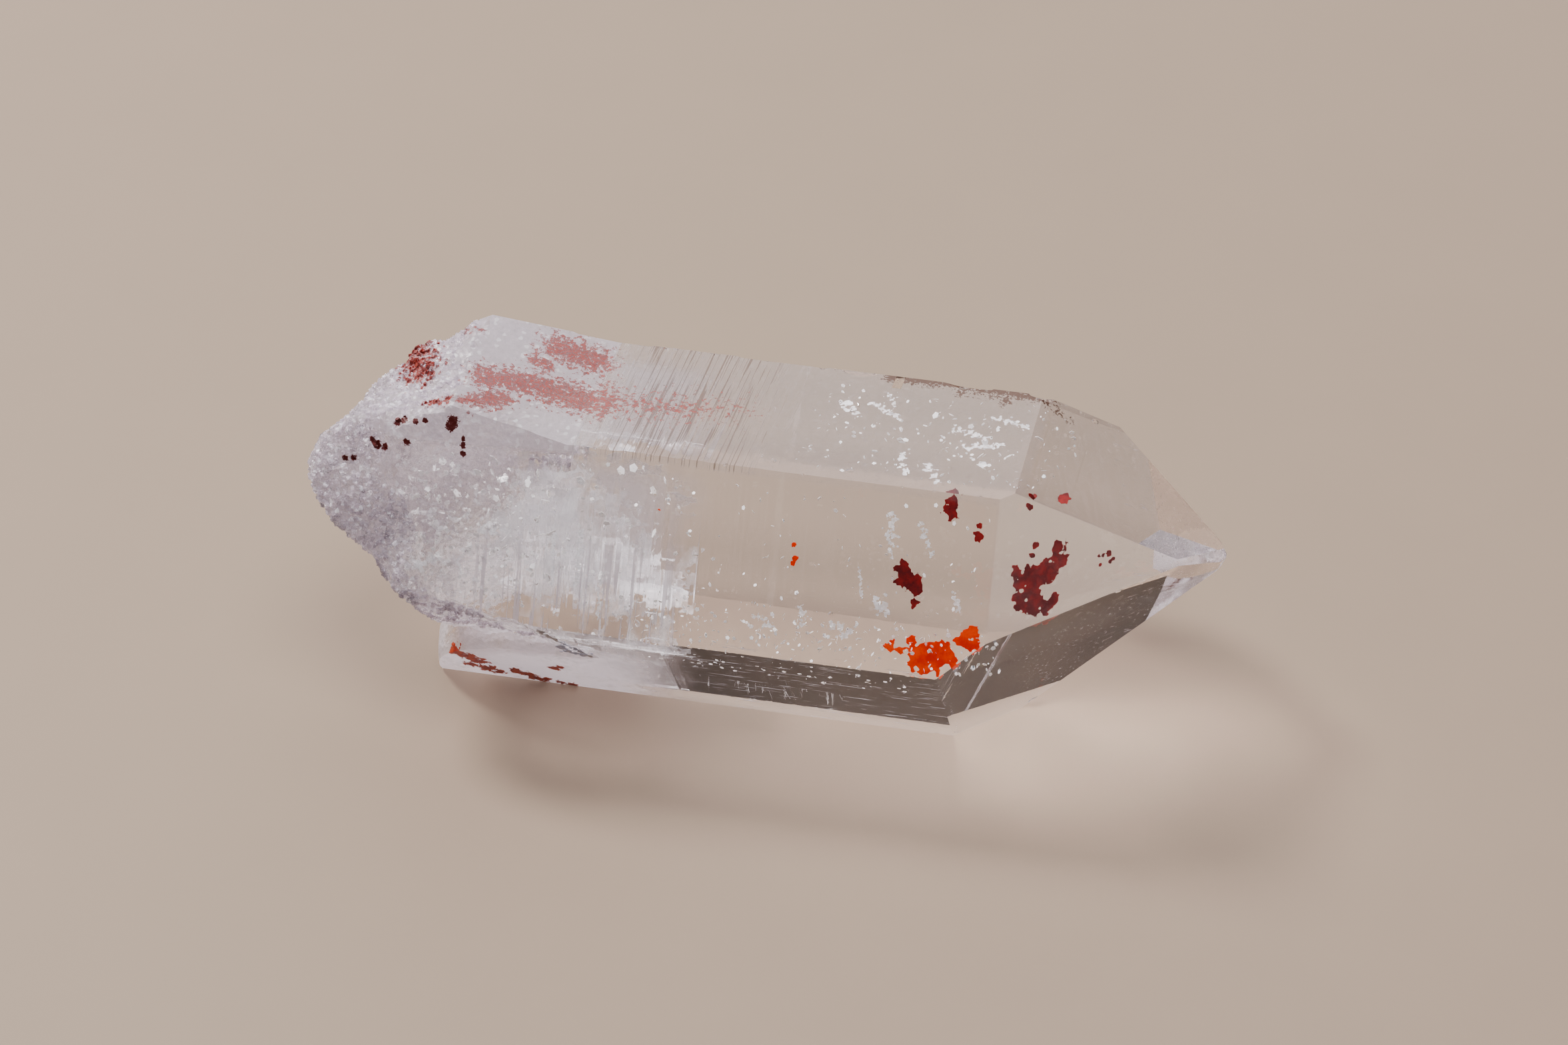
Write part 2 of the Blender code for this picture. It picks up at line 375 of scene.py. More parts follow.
def striaDepths(name, xs, across, chance):
    # the relief of fine lines over one face: a grid of depths, below zero, that fade out at both ends
    grid = np.zeros((len(xs), len(across)))
    for start, end, count, deepest, middle, spread in crystalPoint["striae"][name]:
        for _ in range(count):
            at = chance.uniform(start, end)
            depth = deepest * chance.uniform(0.25, 1.0) ** 1.5
            left, right = chance.uniform(0.04, 0.22), chance.uniform(0.04, 0.12)
            centre = chance.gauss(middle, 0.16)
            length = spread * chance.uniform(0.35, 1.0)
            gap = xs - at
            notch = np.clip(1 - np.where(gap < 0, -gap / left, gap / right), 0, 1)
            window = np.clip(1.25 - np.abs(across - centre) / max(length, 0.1), 0, 1)
            grid -= depth * notch[:, None] * window[None, :]
    return grid


def makePrism(chance):
    shape = crystalPoint
    rough, lined, clear = shape["rough"], shape["lined"], shape["clear"]
    roughXs = list(np.arange(rough["from"], rough["to"], rough["step"]))
    linedXs = np.arange(rough["to"], lined["to"], lined["step"])
    clearXs = np.arange(lined["to"], clear["to"], clear["step"])
    fineXs = np.concatenate((linedXs, clearXs))
    across = np.arange(lined["across"]) / lined["across"]
    relief = {name: striaDepths(name, fineXs, across, chance) for name in faceNames}
    prism = bmesh.new()

    def ring(x, count, depths):
        section = sectionAt(x)
        made = []
        for index, name in enumerate(faceNames):
            start, end = section[index - 1], section[index]
            outward = prismDirection(name)
            for step in range(count):
                share = step / count
                depth = depths[name][step] * min(1.0, 6 * share * (1 - share)) if depths else 0.0
                made.append(prism.verts.new(start.lerp(end, share) + outward * float(depth)))
        return made

    def join(left, right):
        count = len(left)
        for index in range(count):
            after = (index + 1) % count
            prism.faces.new((left[index], left[after], right[after], right[index]))

    roughRings = [ring(x, rough["across"], None) for x in roughXs]
    fineRings = [ring(x, lined["across"], {name: relief[name][row] for name in faceNames})
                 for row, x in enumerate(fineXs)]
    for rings in (roughRings, fineRings):
        for left, right in zip(rings, rings[1:]):
            join(left, right)
    ratio = rough["across"] // lined["across"]
    wide, narrow = roughRings[-1], fineRings[0]
    for index in range(len(narrow)):
        after = (index + 1) % len(narrow)
        many = [wide[(index * ratio + step) % len(wide)] for step in range(ratio + 1)]
        prism.faces.new((*many, narrow[after], narrow[index]))
    prism.faces.new(roughRings[0])
    prism.faces.new(fineRings[-1])
    bmesh.ops.recalc_face_normals(prism, faces=prism.faces)
    return prism


def sliceOff(solid, point, outward):
    geometry = solid.verts[:] + solid.edges[:] + solid.faces[:]
    cut = bmesh.ops.bisect_plane(solid, geom=geometry, plane_co=point, plane_no=outward,
                                 dist=1e-5, clear_outer=True)
    rim = [item for item in cut["geom_cut"] if isinstance(item, bmesh.types.BMEdge)]
    if rim:
        bmesh.ops.contextual_create(solid, geom=rim)


def cutPoint(solid):
    for name in faceNames:
        foot = prismDirection(name) * faceDistance[name] + Vector((crystalPoint["shoulders"][name], 0, 0))
        sliceOff(solid, foot, pointDirection(name))
    tip = max((vert.co.copy() for vert in solid.verts), key=lambda spot: spot.x)
    wear = crystalPoint["tipWear"]
    for turn in range(4):
        angle = math.radians(40 + 90 * turn)
        worn = Vector((1.0, 0.62 * math.cos(angle), 0.62 * math.sin(angle))).normalized()
        sliceOff(solid, tip - worn * wear, worn)
    sliceOff(solid, tip - Vector((wear * 1.35, 0.0, 0.0)), Vector((1.0, 0.0, 0.0)))


def lumps(spot, layers):
    return sum(height * noise.noise(spot / size + Vector((size, 0.0, 7.0))) for size, height in layers)


def facets(spot, layers):
    # small tilted facets, as on sugar
    total = 0.0
    for size, tilt in layers:
        scaled = spot / size
        nearest = noise.voronoi(scaled)[1][0]
        lean = noise.noise_vector(nearest * 3.7)
        total += size * tilt * (scaled - nearest).dot(lean)
    return total


def makeRoughEnd():
    rough = bmesh.new()
    bmesh.ops.create_icosphere(rough, subdivisions=7, radius=1.0)
    centre = Vector(crystalPoint["roughCentre"])
    flats = [(Vector(outward).normalized(), Vector(outward).normalized().dot(Vector(spot) - centre))
             for outward, spot in crystalPoint["roughFlats"]]
    sharp, far = crystalPoint["roughSharpness"], crystalPoint["roughReach"]
    directions = np.array([vert.co.normalized() for vert in rough.verts])
    near = np.full(len(directions), (1.0 / far) ** sharp)
    for outward, distance in flats:
        near += (np.clip(directions @ np.array(outward), 0, None) / distance) ** sharp
    reaches = near ** (-1.0 / sharp)
    for vert, reach in zip(rough.verts, reaches):
        direction = vert.co.normalized()
        spot = centre + direction * reach
        if reach < 20:
            spot = spot + direction * (lumps(spot, crystalPoint["roughLumps"]) + facets(spot, crystalPoint["sugar"]))
        vert.co = spot
    return rough


def makeLobe():
    lobe = bmesh.new()
    bmesh.ops.create_icosphere(lobe, subdivisions=6, radius=1.0)
    centre, half = Vector(crystalPoint["lobeCentre"]), Vector(crystalPoint["lobeHalf"])
    square = crystalPoint["lobeSquareness"]
    for vert in lobe.verts:
        direction = vert.co.normalized()
        fullness = sum(abs(part) ** square for part in direction) ** (-1.0 / square)
        spot = centre + direction * fullness * half
        vert.co = spot + direction * lumps(spot, crystalPoint["lobeLumps"])
    return lobe


def addScar(solid, middle, halfSizes, lean):
    made = bmesh.ops.create_icosphere(solid, subdivisions=2, radius=1.0)["verts"]
    turn = Matrix.Rotation(lean, 4, "Y") @ Matrix.Diagonal(Vector(halfSizes)).to_4x4()
    bmesh.ops.transform(solid, matrix=Matrix.Translation(Vector(middle)) @ turn, verts=made)


def sharpEdges():
    # the long edges of the prism, up to the point, as pairs of corners
    lines = []
    for name in faceNames:
        corner = corners[name]
        foot = corner + Vector((crystalPoint["shoulders"][name], 0, 0))
        lines.append((corner + Vector((-24.0, 0, 0)), foot))
    return lines


def makeScars(chance):
    # chips and edge nicks, none of which touch each other
    scars = bmesh.new()
    taken = []
    for middle, halfSizes, lean in crystalPoint["chips"]:
        addScar(scars, middle, halfSizes, lean)
        taken.append((Vector(middle), max(halfSizes) * 1.2))
    small, large = crystalPoint["nickSizes"]
    lines = sharpEdges()
    for _ in range(crystalPoint["nicks"]):
        start, end = chance.choice(lines)
        spot = start.lerp(end, chance.random())
        size = small + (large - small) * chance.random() ** 3
        halfSizes = (size * chance.uniform(0.8, 2.2), size, size)
        lean = chance.uniform(-0.6, 0.6)
        reach = max(halfSizes) * 1.2
        if all((spot - other).length > reach + far for other, far in taken):
            addScar(scars, spot, halfSizes, lean)
            taken.append((spot, reach))
    return scars


def sugarAmount(points):
    # how deep each point lies under the prism's flat faces: 0 on them, 1 on the rough end
    hull = np.full(len(points), -1e9)
    for name in faceNames:
        outward = np.array(prismDirection(name))
        xs = np.linspace(-41, 14, 400)
        reach = np.interp(points[:, 0], xs, [faceReach(name, x) for x in xs])
        hull = np.maximum(hull, points @ outward - reach)
    left = np.clip((-20.0 - points[:, 0]) / 2.0, 0, 1)
    return np.clip((-hull - 0.12) / 0.35, 0, 1) * left


def makeCrystal():
    chance = random.Random(crystalPoint["seed"])
    noise.seed_set(crystalPoint["seed"])     # or the sugary facets would follow the clock
    solid = makePrism(chance)
    cutPoint(solid)
    crystal = looseObject("crystalPoint", solid)
    envelope = looseObject("roughEnd", makeRoughEnd())
    report("crystal", "sections and rough end built")
    combine(envelope, "UNION", looseObject("lobe", makeLobe()), "MANIFOLD")
    combine(crystal, "INTERSECT", envelope, "MANIFOLD")
    combine(crystal, "DIFFERENCE", looseObject("scars", makeScars(chance)), "MANIFOLD")
    solid = bmesh.new()
    solid.from_mesh(crystal.data)
    bmesh.ops.remove_doubles(solid, verts=solid.verts, dist=1e-5)
    bmesh.ops.triangulate(solid, faces=solid.faces)
    solid.to_mesh(crystal.data)
    solid.free()
    mesh = crystal.data
    points = meshPoints(mesh)
    amount = mesh.attributes.new("sugar", "FLOAT", "POINT")
    amount.data.foreach_set("value", sugarAmount(points).astype(np.float32))
    mesh.vertices.foreach_set("co", ((points + shoulder) * mm).ravel())
    mesh.shade_smooth()
    mesh.set_sharp_from_angle(angle=crystalPoint["sharpEdge"])
    report("crystal", f"{len(mesh.polygons)} triangles")
    return crystal


# Quartz finish: clear glass with haze, frost and dust on its skin

quartzFinish = {
    "ior": 1.544, "tint": (0.985, 0.975, 0.98), "frost": (0.60, 0.535, 0.575), "milk": (0.80, 0.77, 0.80),
    "redDust": (0.17, 0.012, 0.008), "paleRed": (0.34, 0.055, 0.040), "brownDust": (0.10, 0.045, 0.028),
    "deepMark": (0.10, 0.010, 0.008), "orangeMark": (0.62, 0.07, 0.015), "redMark": (0.42, 0.022, 0.012),
    "absorb": (0.90, 0.86, 0.87), "density": 9.0,
    "lampShade": (0.68, 0.66, 0.67), "glow": (0.82, 0.78, 0.83),
    "redBands": (      # start, end, half width, in millimetres
        ((-28.4, 3.2, 1.2), (-25.7, 3.75, 0.66), 1.25),
        ((-25.7, 3.7, 0.66), (-22.9, 3.6, 0.06), 1.45),
        ((-25.3, 7.0, 0.6), (-23.3, 6.9, 0.15), 1.40),
        ((-32.9, 5.4, 0.4), (-32.1, 3.8, 0.6), 1.35),
        ((-28.3, 1.3, 1.15), (-27.2, 1.9, 0.95), 0.85),
        ((-31.0, 0.9, 1.0), (-29.0, 1.0, 1.3), 0.42),
        ((-21.5, 3.8, 0), (-14.8, 4.4, 0), 2.1),
        ((-26.4, 5.6, 0.8), (-25.6, 5.4, 0.7), 0.55),
        ((-30.2, 6.9, 1.0), (-29.6, 6.6, 1.2), 0.45),
    ),
    "darkMarks": (     # middle and radius
        ((-29.40, -0.10, 0.70), 0.42), ((-29.50, -0.24, 0.48), 0.36), ((-32.1, -0.15, 0.46), 0.28),
        ((-32.4, -0.27, 0.36), 0.30), ((-31.4, -0.30, 0.58), 0.20), ((-30.9, -0.21, 0.62), 0.20),
        ((-33.75, -0.52, -0.93), 0.28), ((-33.5, -0.66, -1.03), 0.34), ((-33.0, -0.84, -0.97), 0.28),
        ((-31.8, -0.90, -0.44), 0.24), ((-28.75, -0.66, -0.35), 0.22), ((-28.74, -0.90, -0.75), 0.22),
        ((-28.77, -0.50, -0.06), 0.18), ((-35.3, -0.68, -2.24), 0.24), ((-34.8, -0.82, -2.04), 0.24),
    ),
    "edgeMarks": (     # dirt along the far edge of the top face
        ((-7.6, 8.75, 0.0), (-2.4, 8.8, 0.0), 0.62), ((-2.6, 8.7, 0.0), (1.0, 8.7, -0.1), 0.85),
        ((1.6, 8.3, -0.4), (2.6, 8.5, -0.9), 0.50), ((-3.6, 8.1, 0.0), 0.45), ((-1.2, 7.9, 0.0), 0.50),
    ),
    "lobeMarks": (     # middle and radius on the lobe
        ((-29.6, -1.75, -14.1), 0.50), ((-29.1, -1.7, -14.4), 0.62), ((-28.6, -1.3, -15.0), 0.72),
        ((-29.05, -0.9, -15.7), 0.52), ((-28.1, -0.8, -16.0), 0.62), ((-27.6, -0.57, -16.3), 0.44),
        ((-26.6, -0.9, -15.8), 0.46), ((-26.0, -0.7, -16.1), 0.50), ((-25.6, -0.46, -16.5), 0.50),
        ((-25.0, -0.4, -16.6), 0.36), ((-24.2, -1.58, -14.6), 0.36), ((-23.8, -1.67, -14.4), 0.34),
        ((-24.2, -0.33, -16.8), 0.46), ((-23.6, -0.23, -16.9), 0.38),
    ),
}


def strongest(shader, point, marks):
    # the strongest of several soft spots or bands
    shape = None
    for mark in marks:
        one = shader.band(point, *mark) if len(mark) == 3 else shader.blob(point, *mark)
        shape = one if shape is None else shader.most(shape, one)
    return shape


def makeQuartz():
    finish = quartzFinish
    shader = Shader("clearQuartz")
    point = shader.millimetres()
    x, y, z = shader.split(point)
    sugar = shader.add("Attribute", {"attribute_name": "sugar"}, None, "Fac")
    topDepth = shader.planeDepth(point, (0, 0, 1), 0.0)
    frontDepth = shader.planeDepth(point, prismDirection("frontUpper"), 0.0)
    lowerDepth = shader.planeDepth(point, prismDirection("frontLower"), faceDistance["frontLower"])
    onTop = shader.rise(topDepth, 0.45, 0.2)
    onFront = shader.rise(frontDepth, 0.45, 0.2)
    onLower = shader.rise(lowerDepth, 0.45, 0.2)
    wide = shader.grain(point, 0.45, 2.0)
    grit = shader.grain(point, 2.2, 3.0, 0.65)
    fine = shader.grain(point, 7.0, 2.0, 0.7)
    mosaic = shader.split(shader.cells(point, 2.4, "F1", "Color", (0.8, 1.3, 1.3)))[0]
    # painted glints: random cells that turn near-white and more covered, standing in for sparkle on the frost
    paintedGlints = shader.rise(shader.split(shader.cells(point, 4.6, "F1", "Color"))[0], 0.90, 0.93)
    dents = shader.cells(point, 3.0)

    # frost: the sugary end, the flared part of the top face left of the crease, and thin haze elsewhere, with
    # near-white cells painted in as glints
    creased = shader.rise(x - y * 0.06, -22.85, -22.98) * onTop
    frontFrost = shader.rise(x + wide * 5.0, -21.6, -25.4) * onFront
    lobeArea = shader.rise(z, -10.5, -12.0) * shader.rise(x + wide * 4.0, -15.0, -19.5)
    slanted = shader.add("CombineXYZ", None, {"X": x - y * 0.08, "Y": y, "Z": z})
    lines = shader.grain(slanted, 1.0, 2.0, 0.6, (7.0, 0.20, 0.20))
    fewLines = shader.grain(point, 1.0, 2.0, 0.5, (4.6, 0.16, 0.16))
    zone = shader.rise(x, -15.0, -18.0) * shader.rise(x, -29.5, -27.0)
    frontLines = shader.rise(fewLines, 0.56, 0.64) * onFront * zone * shader.rise(z + wide * 3.0, -1.5, -4.5)
    coarse = sugar * 1.0 + frontFrost * (1 - sugar)
    frostAmount = shader.clipped(shader.most(sugar * 0.50, creased * 0.66, frontFrost * 0.08)
                                 + coarse * ((grit - 0.5) * 1.6 + (mosaic - 0.5) * 0.56 + (wide - 0.5) * 0.8)
                                 + creased * (grit - 0.5) * 0.5 + paintedGlints * coarse * 0.6)
    milkAmount = lobeArea * shader.rise(wide + grit * 0.3, 0.25, 0.70) * 0.88
    topLines = shader.rise(lines, 0.46, 0.66) * onTop * shader.rise(x, -14.0, -21.0)
    topHaze = onTop * (0.09 + shader.rise(grit, 0.50, 0.75) * 0.12) + topLines * 0.22
    scratch = shader.grain(point, 1.6, 2.0, 0.6, (0.30, 4.5, 4.5))
    streaks = shader.rise(scratch, 0.58, 0.70) * onLower * shader.rise(x, -24.0, -12.0) * 0.45
    pointScratch = shader.grain(point, 2.4, 2.0, 0.6, (0.5, 3.0, 5.0))
    scratchArea = shader.rise(x, -1.0, 1.5) * shader.rise(z, -7.5, -8.5)
    pointLines = shader.rise(pointScratch, 0.62, 0.72) * scratchArea * 0.4

    pointDepth = shader.planeDepth(point, pointDirection("frontUpper"),
                                   pointDirection("frontUpper").dot(corners["frontUpper"]))
    onPoint = shader.rise(pointDepth, 0.12, 0.04)
    pointHaze = onPoint * (0.05 + shader.rise(wide, 0.4, 0.7) * 0.05)

    # dust: iron red in bands on the top face, brown along growth lines and the far edge
    speckle = shader.grain(point, 3.2, 3.0, 0.75, (1.0, 1.0, 0.0))
    redShape = strongest(shader, point, finish["redBands"])
    scattered = shader.rise(x, -21.9, -21.4) * 0.55 + shader.rise(x, -18.5, -14.0) * 0.5
    redAmount = shader.rise(redShape + (speckle - 0.5) * (4.2 + scattered * 3.0) - scattered, 0.05, 0.62)
    redAmount = redAmount * shader.rise(topDepth, 0.7, 0.3) * (0.62 + shader.rise(fine, 0.40, 0.58) * 0.38)
    darkShape = strongest(shader, point, finish["darkMarks"])
    darkAmount = shader.rise(darkShape + (fine - 0.5) * 1.6, 0.18, 0.32)
    lobeShape = strongest(shader, point, finish["lobeMarks"])
    lobeAmount = shader.rise(lobeShape + (grit - 0.5) * 3.0 + (fine - 0.5) * 1.2, 0.06, 0.32)
    stain = shader.grain(slanted, 1.0, 2.0, 0.6, (7.5, 0.14, 0.14))
    brownAmount = shader.rise(stain, 0.50, 0.60) * onTop * shader.rise(x, -12.0, -14.5) * shader.rise(x, -22.3, -20.5)
    edgeShape = strongest(shader, point, finish["edgeMarks"])
    edgeDirt = shader.rise(edgeShape + (fine - 0.5) * 3.0 + (grit - 0.5) * 2.2, 0.40, 0.62)

    hazeAmount = shader.clipped(shader.most(frostAmount, milkAmount, topHaze, streaks, pointLines, pointHaze,
                                            frontLines * 0.8))
    dustAmount = shader.clipped(shader.most(redAmount * 0.9, brownAmount * 0.55, darkAmount, edgeDirt * 0.9,
                                            lobeAmount * 0.95))

    # frost colour with painted highlight: near-white in the glint cells
    frostAndGlintTone = shader.mixColour(paintedGlints, finish["frost"], (0.95, 0.94, 0.96))
    skinColour = shader.mixColour(shader.clipped(lobeArea), frostAndGlintTone, finish["milk"])
    redTone = shader.mixColour(shader.rise(fine, 0.35, 0.7), finish["redDust"], finish["paleRed"])
    brown = shader.clipped(shader.most(brownAmount, edgeDirt) * 2.0) * (1 - shader.clipped(redAmount))
    dustColour = shader.mixColour(brown, redTone, finish["brownDust"])
    lobeTone = shader.mixColour(shader.rise(grit, 0.42, 0.60), finish["redMark"], finish["orangeMark"])
    lobeColour = shader.mixColour(shader.clipped(lobeAmount), dustColour, lobeTone)
    darkTone = shader.mixColour(shader.clipped(darkAmount), lobeColour, finish["deepMark"])
    coverColour = shader.mixColour(shader.rise(dustAmount, 0.05, 0.5), skinColour, darkTone)

    height = grit * 0.45 + fine * 0.30 + dents * 0.55
    bumpStrength = shader.clipped(sugar * 0.9 + creased * 0.30 + frontFrost * 0.6 + 0.012)
    bump = shader.add("Bump", None, {"Strength": 1.0, "Distance": 0.00014, "Height": height * bumpStrength})
    roughness = shader.clipped(0.012 + sugar * 0.10 + creased * 0.22 + frontFrost * 0.07 + lobeArea * 0.15
                               + onTop * 0.03)
    glass = shader.add("BsdfPrincipled", None, {
        "Base Color": (*finish["tint"], 1.0), "Roughness": roughness, "IOR": finish["ior"],
        "Transmission Weight": 1.0, "Normal": bump})
    cover = shader.add("BsdfPrincipled", None, {
        "Base Color": coverColour, "Roughness": 0.45, "IOR": 1.5, "Normal": bump})
    through = shader.add("BsdfTranslucent", None, {"Color": (*finish["glow"], 1.0)})
    glowing = shader.add("MixShader", None, {0: shader.rise(dustAmount, 0.6, 0.2) * 0.5, 1: cover, 2: through})
    skin = shader.add("MixShader", None, {
        0: shader.clipped(shader.most(hazeAmount, dustAmount)), 1: glass, 2: glowing})
    # faces with no marks at all are plain glass, which renders much faster
    clearGlass = shader.add("BsdfPrincipled", None, {
        "Base Color": (*finish["tint"], 1.0), "Roughness": 0.012, "IOR": finish["ior"],
        "Transmission Weight": 1.0})
    marked = shader.most(shader.rise(x, -12.8, -12.9), onTop, onLower, onPoint, scratchArea,
                         shader.rise(edgeShape, -1.2, -1.1))
    body = shader.add("MixShader", None, {0: shader.rise(marked, 0.0, 0.0001), 1: clearGlass, 2: skin})
    lamp = shader.add("BsdfTransparent", None, {"Color": (*finish["lampShade"], 1.0)})
    ray = shader.add("LightPath", None, None, "Is Shadow Ray")
    surface = shader.add("MixShader", None, {0: ray, 1: body, 2: lamp})
    volume = shader.add("VolumeAbsorption", None, {
        "Color": (*finish["absorb"], 1.0), "Density": finish["density"]})
    return shader.finish(surface, volume)


quartz = makeQuartz()
crystal = makeCrystal()
crystal.data.materials.clear()
crystal.data.materials.append(quartz)
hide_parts("crystal")
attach(crystal, "root")


# Films of iron oxide inside the crystal: thin ragged flakes on its growth planes

ironFilms = {
    "spacing": 0.055, "thickness": 0.02, "ragged": 0.62, "grain": 0.5,
    "deepRed": {   # name: plane's outward direction, seed, blobs as x, y, z, radius
        "pointPatch": ("pointFrontUpper", 3, (
            (2.42, 1.99, -4.44, 0.36), (2.46, 1.75, -4.92, 0.39), (2.22, 1.32, -5.27, 0.45),
            (1.81, 0.88, -5.39, 0.52), (1.24, 0.4, -5.33, 0.58), (0.55, 0.07, -4.82, 0.32),
            (0.78, -0.1, -5.49, 0.39), (1.3, 0.11, -5.93, 0.58), (0.91, -0.41, -6.23, 0.45),
            (1.52, -0.14, -6.7, 0.58), (2.06, 0.16, -7.04, 0.39), (2.37, 0.57, -6.83, 0.29),
            (1.3, 1.3, -3.87, 0.16), (1.23, 0.99, -4.3, 0.13))),
        "pointDots": ("pointFrontUpper", 4, (
            (4.37, 3.07, -5.63, 0.1), (4.57, 3.24, -5.66, 0.1), (4.85, 3.49, -5.66, 0.13),
            (4.93, 3.28, -6.15, 0.13), (4.49, 2.94, -6.06, 0.1), (5.09, 3.49, -6.04, 0.1),
            (0.91, 2.06, -1.95, 0.16), (0.75, 2.03, -1.74, 0.13))),
        "topPatch": ("top", 5, ((3.01, 1.76, -1, 0.29), (3.08, 2.12, -1, 0.19), (1.42, 1.6, -1, 0.13))),
        "cornerPatch": ("frontUpper", 6, (
            (-2.63, 0.59, -0.97, 0.29), (-2.63, 0.4, -1.31, 0.39), (-2.5, 0.24, -1.58, 0.26),
            (-2.45, 0.64, -0.9, 0.16), (-1.05, -0.16, -2.28, 0.23), (-0.99, 0.04, -1.93, 0.19),
            (-1.09, -0.29, -2.51, 0.16))),
        "middlePatch": ("frontUpper", 7, (
            (-4.78, -1.19, -4.06, 0.23), (-4.79, -1.44, -4.49, 0.39), (-4.36, -1.66, -4.87, 0.49),
            (-4.95, -1.66, -4.88, 0.26), (-4.06, -1.87, -5.23, 0.29), (-4.06, -2.21, -5.83, 0.23),
            (-5.13, -1.38, -4.38, 0.19))),
    },
    "brightRed": {
        "cornerFlare": ("frontUpper", 8, (
            (-5.12, -3.84, -7.65, 0.26), (-4.61, -3.92, -7.79, 0.19), (-3.93, -3.68, -7.37, 0.29),
            (-3.55, -3.95, -7.85, 0.58), (-2.94, -4.05, -8.01, 0.71), (-2.61, -3.76, -7.51, 0.52),
            (-2.01, -3.82, -7.61, 0.39), (-3.23, -4.26, -8.38, 0.45), (-1.12, -3.33, -6.77, 0.39),
            (-0.82, -3.18, -6.51, 0.32), (-0.69, -3.5, -7.06, 0.29), (-1.42, -3.48, -7.03, 0.26),
            (-1.77, -4.03, -7.99, 0.32))),
        "middleSpecks": ("frontUpper", 9, (
            (-10.78, -1.08, -3.87, 0.13), (-10.65, -1.4, -4.43, 0.15), (-10.75, -1.57, -4.72, 0.11),
            (-18.14, -0.59, -3.02, 0.11))),
    },
}


def planeDirection(name):
    if name.startswith("point"):
        inner = name[5].lower() + name[6:]
        return pointDirection(inner)
    return prismDirection(name)


def addFlake(solid, facing, seed, blobs, spacing, thickness, ragged, grain):
    # a thin plate on a plane, kept where the blobs and the noise agree, with softened edges
    outward = planeDirection(facing)
    centre = Vector(np.mean([blob[:3] for blob in blobs], axis=0))
    side = outward.orthogonal().normalized()
    up = outward.cross(side)
    flat = [((Vector(blob[:3]) - centre).dot(side), (Vector(blob[:3]) - centre).dot(up), blob[3]) for blob in blobs]
    reach = 1.6 * max(blob[2] for blob in flat)
    lowU, highU = min(b[0] for b in flat) - reach, max(b[0] for b in flat) + reach
    lowV, highV = min(b[1] for b in flat) - reach, max(b[1] for b in flat) + reach
    us = np.arange(lowU, highU, spacing)
    vs = np.arange(lowV, highV, spacing)
    gridU, gridV = np.meshgrid(us, vs, indexing="ij")
    field = np.full(gridU.shape, -9.0)
    for u, v, radius in flat:
        field = np.maximum(field, 1.0 - np.hypot(gridU - u, gridV - v) / (radius * 1.35))
    kept = {}
    spots = [(i, j) for i in range(len(us) - 1) for j in range(len(vs) - 1) if field[i, j] > -0.6]
    shift = Vector((seed * 5.3, seed * 1.7, 0))
    chosen = []
    for i, j in spots:
        spot = Vector((us[i], vs[j], 0))
        wave = noise.fractal((spot + shift) / grain, 0.7, 2.1, 5)
        if field[i, j] + ragged * wave > 0.12:
            chosen.append((i, j))
    made = []

    def vertexAt(i, j):
        if (i, j) not in kept:
            u, v = us[i], vs[j]
            lift = 0.05 * noise.noise(Vector((u, v, seed)) * 0.9)
            kept[i, j] = solid.verts.new(centre + side * float(u) + up * float(v) + outward * lift)
        return kept[i, j]

    for i, j in chosen:
        made.append(solid.faces.new((vertexAt(i, j), vertexAt(i + 1, j), vertexAt(i + 1, j + 1), vertexAt(i, j + 1))))
    rim = [vert for vert in kept.values() if vert.is_boundary]
    for _ in range(3):
        bmesh.ops.smooth_vert(solid, verts=rim, factor=0.5, use_axis_x=True, use_axis_y=True, use_axis_z=True)
    bmesh.ops.solidify(solid, geom=made, thickness=thickness)


def makeFilms(name, group, material):
    solid = bmesh.new()
    for facing, seed, blobs in ironFilms[group].values():
        addFlake(solid, facing, seed, blobs, ironFilms["spacing"], ironFilms["thickness"],
                 ironFilms["ragged"], ironFilms["grain"])
    bmesh.ops.recalc_face_normals(solid, faces=solid.faces)
    report(name, f"{len(solid.faces)} faces")
    piece = asPiece(name, solid, material)
    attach(piece, "root")
    return piece


def makeIronFinish(name, deep, light, glow):
    shader = Shader(name)
    point = shader.millimetres()
    clots = shader.grain(point, 1.6, 5.0, 0.65)
    fine = shader.grain(point, 9.0, 3.0, 0.6)
    colour = shader.mixColour(shader.rise(clots + (fine - 0.5) * 0.3, 0.38, 0.66), deep, light)
    film = shader.add("BsdfPrincipled", None, {
        "Base Color": colour, "Roughness": 0.45, "IOR": 1.5,
        "Alpha": shader.rise(clots + (fine - 0.5) * 0.5, 0.18, 0.36)})
    through = shader.add("BsdfTranslucent", None, {"Color": (*light, 1.0)})
    return shader.finish(shader.add("MixShader", None, {0: glow, 1: film, 2: through}))


deepFinish = makeIronFinish("deepRedIron", (0.13, 0.005, 0.005), (0.38, 0.020, 0.014), 0.3)
brightFinish = makeIronFinish("brightRedIron", (0.72, 0.04, 0.008), (1.0, 0.17, 0.03), 0.55)
makeFilms("deepIronFilms", "deepRed", deepFinish)
makeFilms("brightIronFilms", "brightRed", brightFinish)
